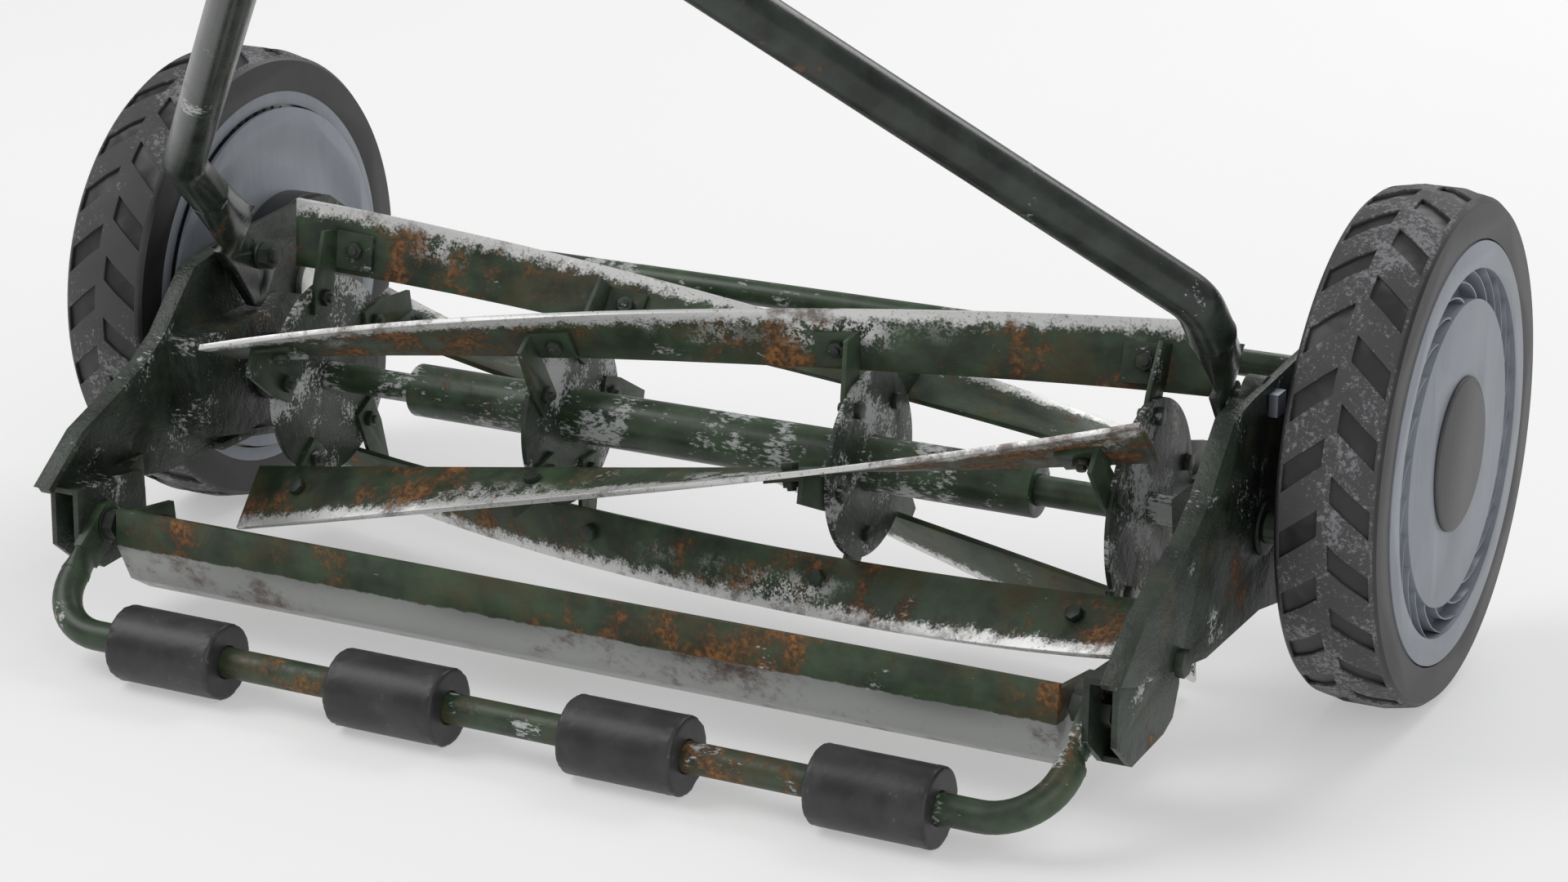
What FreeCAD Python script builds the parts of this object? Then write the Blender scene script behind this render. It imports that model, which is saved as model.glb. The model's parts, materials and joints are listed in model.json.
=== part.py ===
"""Push reel mower: two driven wheels, a five-blade reel, a bedknife, four rear rollers and a handle.

Millimetres. X runs across the mower to its right, Y is the direction of travel, Z is up.
The origin is on the ground, straight below the middle of the wheel axle line.
"""
import FreeCAD, Part
import os
from math import acos, cos, hypot, pi, radians, sin, sqrt, tan

V = FreeCAD.Vector
X_AXIS = V(1, 0, 0)
ORIGIN = V(0, 0, 0)

# ---- driving dimensions: gears and wheels ----
gear_module = 2.5
ring_teeth = 74
pinion_teeth = 15
pressure_angle = 20.0
gear_backlash = 0.35
ring_wall = 1.6
rim_wall = 3.8
tyre_thickness = 25.975
tread_width = 49.4
tread_drop = 5.1
tread_groove_depth = 2.0
tread_groove_count = 24
vane_count = 24
hub_cap_radius = 38.0
axle_radius = 8.0
bush_wall = 4.0

# ---- driving dimensions: frame ----
plate_outer_x = 297.0
plate_web = 4.0
plate_flange_width = 10.0
plate_flange_thickness = 4.0
boss_depth = 18.0
wheel_gap = 22.8
tie_bar_radius = 6.8
tie_bar_y, tie_bar_z = 28.0, 21.5

# ---- driving dimensions: reel ----
reel_direction = 201.73
blade_count = 5
blade_tip_radius = 94.6
blade_root_radius = 58.0
blade_thickness = 3.0
blade_twist = 93.0
blade_waist = 0.148
blade_first_angle = 67.5
blade_end_gap = 39.0
shaft_radius = 7.7
sleeve_radius = 14.1
sleeve_end_gap = 117.4
outer_disc_radius = 54.2
inner_disc_radius = 48.2
disc_thickness = 2.6
outer_disc_inset = 20.5
inner_disc_x = 86.6

# ---- driving dimensions: rollers and their rod ----
roller_radius = 19.4
roller_length = 60.6
roller_centres = (-192.8, -64.4, 64.4, 192.8)
rod_radius = 7.6
rod_y = -274.4
rod_bend_radius = 32.0
rod_bolt_y, rod_bolt_z = -222.0, -69.0
bracket_inset = 21.0

# ---- driving dimensions: bedknife ----
bedknife_end_gap = 37.0
bedknife_plate = 3.4
bedknife_blade_thickness = 3.0
bedknife_blade_depth = 36.0
bedknife_reel_gap = 0.45
bedknife_edge_direction = 230.5
bedknife_pivot_y, bedknife_pivot_z = -196.0, -78.0

# ---- driving dimensions: handle ----
handle_tube_radius = 11.25
handle_tube_wall = 1.6
handle_tab_inset = 15.5
handle_tab_thickness = 5.0
handle_pivot_y, handle_pivot_z = -67.0, 34.5
handle_bend_y, handle_bend_z = -129.5, 98.0
handle_slope = 44.5
handle_fork_run = 455.0
handle_bend_radius = 28.0
handle_stem_length = 739.0
handle_crossbar_length = 470.0
grip_length = 130.0
grip_wall = 4.0

# ---- clearances ----
running_clearance = 0.05
bolt_clearance = 0.2
seat_clearance = 0.02
part_clearance = 0.5

# ---- sizes that follow from the ones above ----
ring_pitch_radius = gear_module * ring_teeth / 2
pinion_pitch_radius = gear_module * pinion_teeth / 2
gear_distance = ring_pitch_radius - pinion_pitch_radius
ring_root_radius = ring_pitch_radius + 1.25 * gear_module
ring_outer_radius = ring_root_radius + ring_wall
rim_seat_radius = ring_outer_radius + rim_wall
wheel_radius = rim_seat_radius + tyre_thickness
axle_z = wheel_radius
wheel_inner_x = plate_outer_x + wheel_gap
wheel_outer_x = wheel_inner_x + tread_width
reel_y = gear_distance * cos(radians(reel_direction))
reel_z = axle_z + gear_distance * sin(radians(reel_direction))
web_inner_x = plate_outer_x - plate_web
flange_inner_x = plate_outer_x - plate_flange_width
boss_inner_x = web_inner_x - boss_depth
blade_half_length = plate_outer_x - blade_end_gap
sleeve_half_length = plate_outer_x - sleeve_end_gap
outer_disc_x = blade_half_length - outer_disc_inset
rod_z = roller_radius
bracket_inner_x = plate_outer_x - bracket_inset
bedknife_half_length = plate_outer_x - bedknife_end_gap
handle_tab_x = plate_outer_x - handle_tab_inset
disc_positions = (-outer_disc_x, -inner_disc_x, inner_disc_x, outer_disc_x)
disc_radii = (outer_disc_radius, inner_disc_radius, inner_disc_radius, outer_disc_radius)


# ---- helpers ----
def save(name, shape):
    """Write one sub-part."""
    shape.exportStep("parts/" + name + ".step")


def mirrored(shape):
    """The same piece on the other side of the mower."""
    return shape.mirror(ORIGIN, X_AXIS)


def save_pair(name, right_shape):
    """Write a right-hand piece and its left-hand twin."""
    save(name + "_right", right_shape)
    save(name + "_left", mirrored(right_shape))


def both_sides(right_shape):
    """A group of the right-hand piece and its left-hand twin."""
    return group([right_shape, mirrored(right_shape)])


def group(shapes):
    solids = []
    for shape in shapes:
        solids.extend(shape.Solids)
    return Part.makeCompound(solids)


def fused(first, others):
    """One solid from solids that overlap or share a face."""
    return first.fuse(others).removeSplitter().Solids[0]


def rod_x(radius, x0, x1, y, z):
    """A round bar along X."""
    return Part.makeCylinder(radius, x1 - x0, V(x0, y, z), X_AXIS)


def tube_x(outer, inner, x0, x1, y, z):
    return rod_x(outer, x0, x1, y, z).cut(rod_x(inner, x0 - 1, x1 + 1, y, z))


def hexagon_x(across_flats, x0, x1, y, z, turn=0.0):
    """A hexagonal bar along X, such as a bolt head or a nut."""
    corner = across_flats / sqrt(3)
    points = []
    for k in range(7):
        a = radians(60 * k + turn)
        points.append(V(x0, y + corner * cos(a), z + corner * sin(a)))
    return Part.Face(Part.makePolygon(points)).extrude(V(x1 - x0, 0, 0))


def plate_x(outline, x0, x1):
    """A flat plate across X from an outline of (y, z) points, z counted from the axle."""
    points = [V(x0, y, axle_z + z) for y, z in outline]
    points.append(points[0])
    return Part.Face(Part.makePolygon(points)).extrude(V(x1 - x0, 0, 0))


def revolved(profile, y, z):
    """A solid of revolution about an X axis through (y, z) from (x, radius) points."""
    points = [V(x, y, z + r) for x, r in profile]
    points.append(points[0])
    return Part.Face(Part.makePolygon(points)).revolve(V(0, y, z), X_AXIS, 360)


def turned(shape, angle, y, z):
    """A copy turned by an angle in degrees about an X axis through (y, z)."""
    copy = shape.copy()
    copy.rotate(V(0, y, z), X_AXIS, angle)
    return copy


def bolt_x(shank, flats, x_head, x_end, y, z, head=5.0, nut_at=None, turn=0.0):
    """A hex bolt along X, its head starting at x_head and pointing towards x_end, with an optional nut."""
    way = 1 if x_end > x_head else -1
    head_inner = x_head + way * head
    low, high = sorted((x_head, head_inner))
    bolt = hexagon_x(flats, low, high, y, z, turn)
    low, high = sorted((head_inner - way, x_end))
    bolt = fused(bolt, [rod_x(shank, low, high, y, z)])
    if nut_at is None:
        return bolt
    low, high = sorted((nut_at, nut_at + way * head))
    return fused(bolt, [hexagon_x(flats, low, high, y, z, turn + 14)])


# ---- gears ----
def involute_half_angle(radius, pitch_radius, teeth, thickening):
    """Half of a tooth's angle at a radius, for a tooth thickened by a length on the pitch circle."""
    base = pitch_radius * cos(radians(pressure_angle))
    at_pitch = tan(radians(pressure_angle)) - radians(pressure_angle)
    alpha = acos(min(1.0, base / max(radius, base)))
    return pi / (2 * teeth) + thickening / (2 * pitch_radius) + at_pitch - (tan(alpha) - alpha)


def toothed_face(x, y, z, teeth, pitch_radius, root, tip, thickening, first_tooth):
    """The flat outline of a gear, or of the hole in a ring gear, in a plane across X."""
    steps = 4
    radii = [root + (tip - root) * k / steps for k in range(steps + 1)]
    points = []
    for tooth in range(teeth):
        middle = radians(first_tooth) + 2 * pi * tooth / teeth
        rising = [(r, middle - involute_half_angle(r, pitch_radius, teeth, thickening)) for r in radii]
        falling = [(r, 2 * middle - a) for r, a in reversed(rising)]
        for r, a in rising + falling:
            points.append(V(x, y + r * cos(a), z + r * sin(a)))
    points.append(points[0])
    return Part.Face(Part.makePolygon(points))


gear_x0 = wheel_inner_x + 7.0
gear_width = 13.0
ratchet_depth = 5.0
ratchet_radius = 11.4
pawl_thickness = 4.0
pawl_width = 5.0
pawl_length = 20.0
pawl_travel = 3.0


def ring_gear():
    """The internal gear pressed into the wheel."""
    blank = rod_x(ring_outer_radius - seat_clearance, gear_x0, gear_x0 + gear_width, 0, axle_z)
    hole = toothed_face(gear_x0 - 1, 0, axle_z, ring_teeth, ring_pitch_radius,
                        ring_pitch_radius - 0.85 * gear_module, ring_root_radius,
                        gear_backlash, reel_direction)
    return blank.cut(hole.extrude(V(gear_width + 2, 0, 0)))


def pinion():
    """The small gear on the reel shaft, with a pocket and notches for the driving pawl."""
    x0 = gear_x0 + 0.5
    width = gear_width - 1.0
    face = toothed_face(x0, reel_y, reel_z, pinion_teeth, pinion_pitch_radius,
                        pinion_pitch_radius - 1.25 * gear_module,
                        pinion_pitch_radius + 0.85 * gear_module, -gear_backlash, reel_direction)
    gear = face.extrude(V(width, 0, 0))
    gear = gear.cut(rod_x(shaft_radius + running_clearance, x0 - 1, x0 + width + 1, reel_y, reel_z))
    pocket_x = x0 + width - ratchet_depth
    gear = gear.cut(rod_x(ratchet_radius, pocket_x, x0 + width + 1, reel_y, reel_z))
    reach = pawl_length / 2 + pawl_travel + 0.4
    notch = Part.makeBox(ratchet_depth + 1, reach, pawl_width + 0.6,
                         V(pocket_x, reel_y, reel_z - pawl_width / 2 - 0.3))
    return gear.cut([turned(notch, 120 * k, reel_y, reel_z) for k in range(3)])


pawl_x = gear_x0 + gear_width - 0.5 - ratchet_depth + 0.5


def pawl():
    """The sliding key that lets the reel overrun its pinion."""
    return Part.makeBox(pawl_thickness, pawl_length, pawl_width,
                        V(pawl_x, reel_y - pawl_length / 2, reel_z - pawl_width / 2))


# ---- wheels, drawn for the right side ----
disc_face_x = wheel_outer_x - 0.3
recess_depth = 9.0
recess_inner_radius = 75.3
recess_outer_radius = 90.4
hub_outer_radius = 19.0
hub_seat_radius = 33.0
hub_face_x = disc_face_x - 11.0
bush_inner_x = wheel_inner_x + 3.0
bush_outer_radius = axle_radius + running_clearance + bush_wall
rim_lip_radius = rim_seat_radius + 3.5
inner_lip = 3.2
outer_lip = 3.0


def rim():
    """The plastic wheel centre with its recessed ring of curved vanes."""
    floor_x = disc_face_x - recess_depth
    shell_x = floor_x - 4.0
    profile = [
        (bush_inner_x, bush_outer_radius), (hub_face_x, bush_outer_radius), (hub_face_x, hub_seat_radius),
        (disc_face_x, hub_seat_radius), (disc_face_x, recess_inner_radius),
        (floor_x, recess_inner_radius), (floor_x, recess_outer_radius),
        (wheel_outer_x + 0.4, recess_outer_radius), (wheel_outer_x + 0.4, rim_lip_radius - 0.9),
        (wheel_outer_x - outer_lip, rim_lip_radius - 0.9), (wheel_outer_x - outer_lip, rim_seat_radius),
        (wheel_inner_x + inner_lip, rim_seat_radius), (wheel_inner_x + inner_lip, rim_lip_radius),
        (wheel_inner_x, rim_lip_radius), (wheel_inner_x, ring_outer_radius),
        (shell_x, ring_outer_radius), (shell_x, recess_inner_radius - 4.0),
        (disc_face_x - 4.5, recess_inner_radius - 4.0), (disc_face_x - 4.5, hub_seat_radius + 4.0),
        (hub_face_x - 4.0, hub_seat_radius + 4.0), (hub_face_x - 4.0, hub_outer_radius),
        (bush_inner_x, hub_outer_radius)]
    return fused(revolved(profile, 0, axle_z), vanes(floor_x))


def vanes(floor_x):
    """Thin blades that swirl across the recess of the wheel's face."""
    inner = recess_inner_radius - 0.4
    outer = recess_outer_radius + 0.4
    sweep = radians(26)
    steps = 6
    half = 0.6
    front, back = [], []
    for k in range(steps + 1):
        r = inner + (outer - inner) * k / steps
        a = sweep * (k / steps) ** 1.4
        front.append(V(floor_x - 0.5, r * cos(a - half / r), axle_z + r * sin(a - half / r)))
        back.append(V(floor_x - 0.5, r * cos(a + 2 * half / r), axle_z + r * sin(a + 2 * half / r)))
    outline = front + back[::-1] + [front[0]]
    blade = Part.Face(Part.makePolygon(outline)).extrude(V(recess_depth - 0.7, 0, 0))
    return [turned(blade, 360.0 * k / vane_count, 0, axle_z) for k in range(vane_count)]


def tyre_profile(sink):
    """Outer line of the tyre from shoulder to shoulder, sunk by a depth."""
    crown = wheel_radius - sink
    shoulder = wheel_radius - tread_drop - sink
    return [(wheel_inner_x, shoulder), (wheel_inner_x + 3.0, shoulder + 2.6),
            (wheel_inner_x + 15.0, crown), (wheel_outer_x - 15.0, crown),
            (wheel_outer_x - 3.0, shoulder + 2.6), (wheel_outer_x, shoulder)]


def tyre():
    """The solid rubber tyre with two staggered rows of slanted tread pockets."""
    seat = [(wheel_outer_x, rim_lip_radius), (wheel_outer_x - outer_lip, rim_lip_radius),
            (wheel_outer_x - outer_lip, rim_seat_radius + seat_clearance),
            (wheel_inner_x + inner_lip, rim_seat_radius + seat_clearance),
            (wheel_inner_x + inner_lip, rim_lip_radius), (wheel_inner_x, rim_lip_radius)]
    body = revolved(tyre_profile(0) + seat, 0, axle_z)
    proud = wheel_radius + 3.0
    shell = revolved(tyre_profile(tread_groove_depth)
                     + [(wheel_outer_x + 0.5, wheel_radius - tread_drop - tread_groove_depth),
                        (wheel_outer_x + 0.5, proud), (wheel_inner_x - 0.5, proud),
                        (wheel_inner_x - 0.5, wheel_radius - tread_drop - tread_groove_depth)], 0, axle_z)
    return body.cut(group(tread_pockets()).common(shell))


def tread_pockets():
    """Slanted blocks that cut the tread, one row from each shoulder."""
    middle = (wheel_inner_x + wheel_outer_x) / 2
    half_pocket = 6.6
    slant = -15.0
    base = wheel_radius - 9.0
    pockets = []
    for row, way in ((0, -1), (1, 1)):
        x_outer = middle + way * (tread_width / 2 - 3.2)
        x_inner = middle + way * 2.6
        corners = [(x_outer, -half_pocket + slant), (x_inner, -half_pocket),
                   (x_inner, half_pocket), (x_outer, half_pocket + slant)]
        points = [V(x, y, axle_z + base) for x, y in corners]
        points.append(points[0])
        block = Part.Face(Part.makePolygon(points)).extrude(V(0, 0, 14))
        for k in range(tread_groove_count):
            angle = 360.0 * (k + row / 2) / tread_groove_count
            pockets.append(turned(block, angle, 0, axle_z))
    return pockets


def hub_cap():
    """The snap-in cap over the end of the axle."""
    rim_x = disc_face_x + 0.05
    face_x = rim_x + 2.0
    profile = [(rim_x - 5.0, hub_seat_radius - 2.4), (rim_x - 5.0, hub_seat_radius - part_clearance / 2),
               (rim_x, hub_seat_radius - part_clearance / 2), (rim_x, hub_cap_radius),
               (face_x - 0.8, hub_cap_radius), (face_x, hub_cap_radius - 1.6), (face_x, 0),
               (face_x - 1.8, 0), (face_x - 1.8, hub_seat_radius - 2.4)]
    return revolved(profile, 0, axle_z)


def wheel_bush():
    """The plain bearing pressed into the hub; it turns on the axle."""
    return tube_x(bush_outer_radius - seat_clearance, axle_radius + running_clearance,
                  bush_inner_x, hub_face_x, 0, axle_z)


washer_thickness = 1.6
clip_groove_x = hub_face_x + 0.3 + washer_thickness + 0.1
clip_thickness = 1.2
axle_end_x = clip_groove_x + clip_thickness + 2.4
axle_flange_radius = 17.0
axle_flange_thickness = 4.0


def axle():
    """A stub axle: its flange stands inside the side plate and its end carries the wheel."""
    body = rod_x(axle_radius, web_inner_x - 1.0, axle_end_x, 0, axle_z)
    flange = rod_x(axle_flange_radius, web_inner_x - axle_flange_thickness, web_inner_x, 0, axle_z)
    groove = tube_x(axle_radius + 1, axle_radius - 1.0, clip_groove_x, clip_groove_x + clip_thickness,
                    0, axle_z)
    return fused(body, [flange]).cut(groove)


def wheel_retainer():
    """The thrust washer and the spring clip that hold the wheel on its axle."""
    washer = tube_x(15.0, axle_radius + bolt_clearance, clip_groove_x - 0.1 - washer_thickness,
                    clip_groove_x - 0.1, 0, axle_z)
    clip = tube_x(12.5, axle_radius - 1.0 + seat_clearance, clip_groove_x + 0.05,
                  clip_groove_x + clip_thickness - 0.05, 0, axle_z)
    mouth = Part.makeBox(10, 7, 16, V(clip_groove_x - 4, -3.5, axle_z - 16))
    return group([washer, clip.cut(mouth)])


# ---- covers between the side plate and the wheel ----
housing_radius = 50.0
cover_x = wheel_inner_x - 3.6
cover_radius = ring_outer_radius - 1.4


def axle_housing():
    """The round dark spacer that holds the dust cover clear of the side plate."""
    profile = [(plate_outer_x, axle_radius + seat_clearance), (cover_x, axle_radius + seat_clearance),
               (cover_x, housing_radius - 4.0), (cover_x - 4.0, housing_radius), (plate_outer_x, housing_radius),
               (plate_outer_x, housing_radius - 4.0), (cover_x - 4.0, housing_radius - 4.0),
               (cover_x - 4.0, 20.0), (plate_outer_x, 20.0)]
    return revolved(profile, 0, axle_z)


def dust_cover():
    """The stationary disc that closes the open side of the wheel."""
    x0, x1 = cover_x, cover_x + 2.2
    step = 1.4
    profile = [(x0, axle_radius + seat_clearance), (x1, axle_radius + seat_clearance), (x1, 57.0),
               (x1 + step, 60.0), (x1 + step, 84.0), (x1, 87.0), (x1, cover_radius), (x0, cover_radius),
               (x0, 86.0), (x0 + step, 83.0), (x0 + step, 61.0), (x0, 58.0)]
    cover = revolved(profile, 0, axle_z)
    return cover.cut(rod_x(shaft_radius + 1.5, x0 - 5, x1 + 5, reel_y, reel_z))


# ---- side plates, drawn for the right side ----
plate_outline = [(-94, 43), (-32, 47), (-8, 48.5), (20, 46), (40, 33), (50, 12), (50, -12), (38, -38), (10, -66),
                 (-20, -74), (-46, -73.6), (-72.5, -68.4), (-143, -68.5), (-231, -51.4), (-248.5, -45.5)]
plate_rear_edge = [(-248.5, -45.5), (-219, -23.2), (-190, -12.4), (-163, -1.5), (-146, 9.5), (-130.5, 25.5),
                   (-116.5, 39), (-94, 43)]
boss_outline = [(-137, 4), (-34, 4), (-24, -16), (-30, -52), (-97, -58), (-129, -51)]
bracket_bolt_y, bracket_bolt_z = -179.0, -58.0
bearing_wall = 6.0


def offset_inwards(edge, distance):
    """The same open edge moved towards the lower right by a distance, point by point."""
    moved = []
    for k, (y, z) in enumerate(edge):
        before = edge[max(k - 1, 0)]
        after = edge[min(k + 1, len(edge) - 1)]
        dy, dz = after[0] - before[0], after[1] - before[1]
        length = hypot(dy, dz)
        moved.append((y + distance * dz / length, z - distance * dy / length))
    return moved


def side_plate():
    """The cast side plate with its rear flange, lower rib and raised bearing boss."""
    web = plate_x(plate_outline + plate_rear_edge[1:-1], web_inner_x, plate_outer_x)
    inner_edge = offset_inwards(plate_rear_edge, plate_flange_thickness)
    flange = plate_x(plate_rear_edge + inner_edge[::-1], flange_inner_x, web_inner_x + 1)
    boss = plate_x(boss_outline, boss_inner_x, web_inner_x + 1)
    rib = plate_x([(-72.5, -68.4), (-46, -73.6), (-20, -74), (-20, -70), (-45, -69.4), (-72, -64.2),
                   (-100, -64.4), (-100, -68.4)], flange_inner_x, web_inner_x + 1)
    pad = rod_x(handle_pad_radius, handle_tab_x + handle_tab_thickness / 2 + part_clearance / 2,
                web_inner_x + 1, handle_pivot_y, axle_z + handle_pivot_z)
    body = fused(web, [flange, boss, rib, pad])
    holes = [
        rod_x(axle_radius + seat_clearance, boss_inner_x, plate_outer_x + 1, 0, axle_z),
        rod_x(bearing_outer_radius + seat_clearance, boss_inner_x - 1, plate_outer_x + 1, reel_y, reel_z),
        rod_x(handle_bolt_radius + bolt_clearance, boss_inner_x, plate_outer_x + 1,
              handle_pivot_y, axle_z + handle_pivot_z),
        rod_x(tie_bolt_radius + bolt_clearance, boss_inner_x, plate_outer_x + 1, tie_bar_y, axle_z + tie_bar_z),
        rod_x(small_bolt_radius + bolt_clearance, boss_inner_x, plate_outer_x + 1,
              bracket_bolt_y, axle_z + bracket_bolt_z)]
    return body.cut(holes)


bearing_outer_radius = shaft_radius + running_clearance + bearing_wall
handle_bolt_radius = 4.0
handle_pad_radius = 12.0
tie_bolt_radius = 3.2
small_bolt_radius = 3.2


def reel_bearing():
    """The bearing pressed into the boss; the reel shaft turns in it."""
    bush = tube_x(bearing_outer_radius, shaft_radius + running_clearance,
                  boss_inner_x, plate_outer_x + 1.5, reel_y, reel_z)
    collar = tube_x(bearing_outer_radius + 4.0, shaft_radius + running_clearance,
                    boss_inner_x - 3.0, boss_inner_x, reel_y, reel_z)
    return fused(bush, [collar])


def tie_bar():
    """The round bar that joins the side plates in front of the reel, tapped at its ends."""
    bar = rod_x(tie_bar_radius, -web_inner_x, web_inner_x, tie_bar_y, axle_z + tie_bar_z)
    bore = rod_x(tie_bolt_radius + seat_clearance, web_inner_x - 22, web_inner_x + 1,
                 tie_bar_y, axle_z + tie_bar_z)
    return bar.cut([bore, mirrored(bore)])


def tie_bar_bolt():
    return bolt_x(tie_bolt_radius, 13.0, plate_outer_x + 5.0, web_inner_x - 20, tie_bar_y,
                  axle_z + tie_bar_z)


# ---- roller carrier ----
bracket_wall = 3.0
bracket_top = [(-240, -47), (-189, -51)]
bracket_bottom = [(-184, -92), (-222, -94)]
rod_tab_thickness = 4.5
rod_tab_half_width = 10.0


def roller_bracket():
    """A box bracket, open to the rear, bolted inside the tail of the side plate."""
    inner_x1 = bracket_inner_x + bracket_wall
    inner_wall = plate_x(bracket_top + [(-184, -62)] + bracket_bottom + [(-241, -78)],
                         bracket_inner_x, inner_x1)
    outer_wall = plate_x(bracket_top + [(-166, -51), (-166, -74), (-173, -88)] + bracket_bottom
                         + [(-241, -78)], web_inner_x - bracket_wall, web_inner_x)
    webs = []
    for edge, lift in ((bracket_top, -bracket_wall), (bracket_bottom, bracket_wall)):
        strip = edge + [(y, z + lift) for y, z in reversed(edge)]
        webs.append(plate_x(strip, bracket_inner_x, web_inner_x))
    body = fused(inner_wall, [outer_wall] + webs)
    holes = [
        rod_x(small_bolt_radius + bolt_clearance, web_inner_x - 8, web_inner_x + 1,
              bracket_bolt_y, axle_z + bracket_bolt_z),
        rod_x(rod_bolt_radius + bolt_clearance, bracket_inner_x - 1, inner_x1 + 1,
              rod_bolt_y, axle_z + rod_bolt_z),
        rod_x(pivot_bolt_radius + bolt_clearance, bracket_inner_x - 1, inner_x1 + 1,
              bedknife_pivot_y, axle_z + bedknife_pivot_z)]
    return body.cut(holes)


rod_bolt_radius = 4.0
pivot_bolt_radius = 4.0


def roller_bracket_bolt():
    return bolt_x(small_bolt_radius, 12.0, plate_outer_x + 4.5, web_inner_x - 10, bracket_bolt_y,
                  axle_z + bracket_bolt_z, head=4.5, nut_at=web_inner_x - bracket_wall)


def rounded_path(points, radii):
    """A wire of straight runs joined by tangent arcs, one radius for each inner point."""
    edges = []
    start = points[0]
    for k, radius in enumerate(radii):
        corner = points[k + 1]
        back = (points[k] - corner).normalize()
        onward = (points[k + 2] - corner).normalize()
        turn = back.getAngle(onward)
        reach = radius / tan(turn / 2)
        first, last = corner + back * reach, corner + onward * reach
        middle = corner + (back + onward).normalize() * (radius / sin(turn / 2) - radius)
        edges.append(Part.LineSegment(start, first).toShape())
        edges.append(Part.Arc(first, middle, last).toShape())
        start = last
    edges.append(Part.LineSegment(start, points[-1]).toShape())
    return Part.Wire(edges)


def pipe(points, radii, radius):
    """A round bar bent along straight runs and arcs."""
    circle = Part.Wire(Part.makeCircle(radius, points[0], points[1] - points[0]))
    return rounded_path(points, radii).makePipeShell([circle], True, False)


def flattening(start, end, radius, half_width, half_thickness):
    """The stretch where a round bar or tube is pressed flat across X, with a slight collar at its start."""
    way = (end - start).normalize()
    wide = way.cross(X_AXIS).normalize()
    start = start - way * 2.0
    round_end = Part.Ellipse(start + wide * (radius + 0.3), start + X_AXIS * (radius + 0.25), start)
    flat_end = Part.Ellipse(end + wide * half_width, end + X_AXIS * half_thickness, end)
    return Part.makeLoft([Part.Wire(round_end.toShape()), Part.Wire(flat_end.toShape())], True, True)


def rod_half():
    """The right half of the roller rod, from the middle of the mower to its bolted end."""
    tab_x = bracket_inner_x - rod_tab_thickness / 2
    low = V(tab_x, rod_y, rod_z)
    bolt = V(tab_x, rod_bolt_y, axle_z + rod_bolt_z)
    way = (bolt - low).normalize()
    press = bolt - way * 20.0
    round_end = bolt - way * 31.0
    bar = pipe([V(0, rod_y, rod_z), low, round_end], [rod_bend_radius], rod_radius)
    wide = way.cross(X_AXIS).normalize() * rod_tab_half_width
    x0 = V(-rod_tab_thickness / 2, 0, 0)
    outline = [press - way * 2 + wide, bolt + way * 4 + wide, bolt + way * 11 + wide * 0.45,
               bolt + way * 11 - wide * 0.45, bolt + way * 4 - wide, press - way * 2 - wide]
    outline = [p + x0 for p in outline + outline[:1]]
    tab = Part.Face(Part.makePolygon(outline)).extrude(V(rod_tab_thickness, 0, 0))
    pressed = flattening(round_end, press, rod_radius, rod_tab_half_width, rod_tab_thickness / 2)
    hole = rod_x(rod_bolt_radius + bolt_clearance, tab_x - 5, tab_x + 5, bolt.y, bolt.z)
    return fused(bar, [pressed, tab]).cut(hole)


def roller_rod():
    right = rod_half()
    return fused(right, [mirrored(right)])


def roller_rod_bolt():
    washer_x = bracket_inner_x - rod_tab_thickness
    bolt = bolt_x(rod_bolt_radius, 13.0, washer_x - 7.0, bracket_inner_x + bracket_wall + 7.0, rod_bolt_y,
                  axle_z + rod_bolt_z, head=5.5, nut_at=bracket_inner_x + bracket_wall)
    washer = rod_x(9.0, washer_x - 1.5, washer_x, rod_bolt_y, axle_z + rod_bolt_z)
    return fused(bolt, [washer])


def roller(centre):
    """One rubber roller; it turns on the rod."""
    roll = rod_x(roller_radius, centre - roller_length / 2, centre + roller_length / 2, rod_y, rod_z)
    rims = [edge for edge in roll.Edges if len(edge.Vertexes) == 1]
    roll = roll.makeFillet(1.8, rims)
    return roll.cut(rod_x(rod_radius + running_clearance, centre - roller_length, centre + roller_length,
                          rod_y, rod_z))


# ---- bedknife ----
edge_distance = blade_tip_radius + bedknife_reel_gap
edge_y = reel_y + edge_distance * cos(radians(bedknife_edge_direction))
edge_z = reel_z - axle_z + edge_distance * sin(radians(bedknife_edge_direction))
bar_floor_z = edge_z - bedknife_blade_thickness - bedknife_plate
rivet_radius = 2.6
rivet_count = 9
rivet_y = edge_y - bedknife_blade_depth * 0.62


def bedknife_bar():
    """The bent steel bar across the rear that carries the bedknife."""
    bend = [(-230.0, -57.5), (-231.3, -76.0), (-221.0, bar_floor_z + 9.5), (-206.0, bar_floor_z),
            (edge_y - 8.0, bar_floor_z)]
    inner = offset_inwards(bend, -bedknife_plate)
    bar = plate_x(bend + inner[::-1], -bedknife_half_length, bedknife_half_length)
    ear = plate_x([(-229, -60), (-186, -66), (-184, -84), (-188, bar_floor_z + 1), (-206, bar_floor_z + 1),
                   (-220, bar_floor_z + 10.5), (-230, -76)],
                  bedknife_half_length - 3.4, bedknife_half_length)
    hole = rod_x(pivot_bolt_radius + running_clearance, bedknife_half_length - 8, bedknife_half_length + 2,
                 bedknife_pivot_y, axle_z + bedknife_pivot_z)
    body = fused(bar, [ear, mirrored(ear)])
    return body.cut([hole, mirrored(hole)] + rivet_shanks(rivet_radius + seat_clearance))


def rivet_shanks(radius):
    span = bedknife_half_length - 20.0
    return [Part.makeCylinder(radius, 30.0, V(span * (2 * k / (rivet_count - 1) - 1), rivet_y,
                                              axle_z + bar_floor_z - 12.0)) for k in range(rivet_count)]


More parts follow.
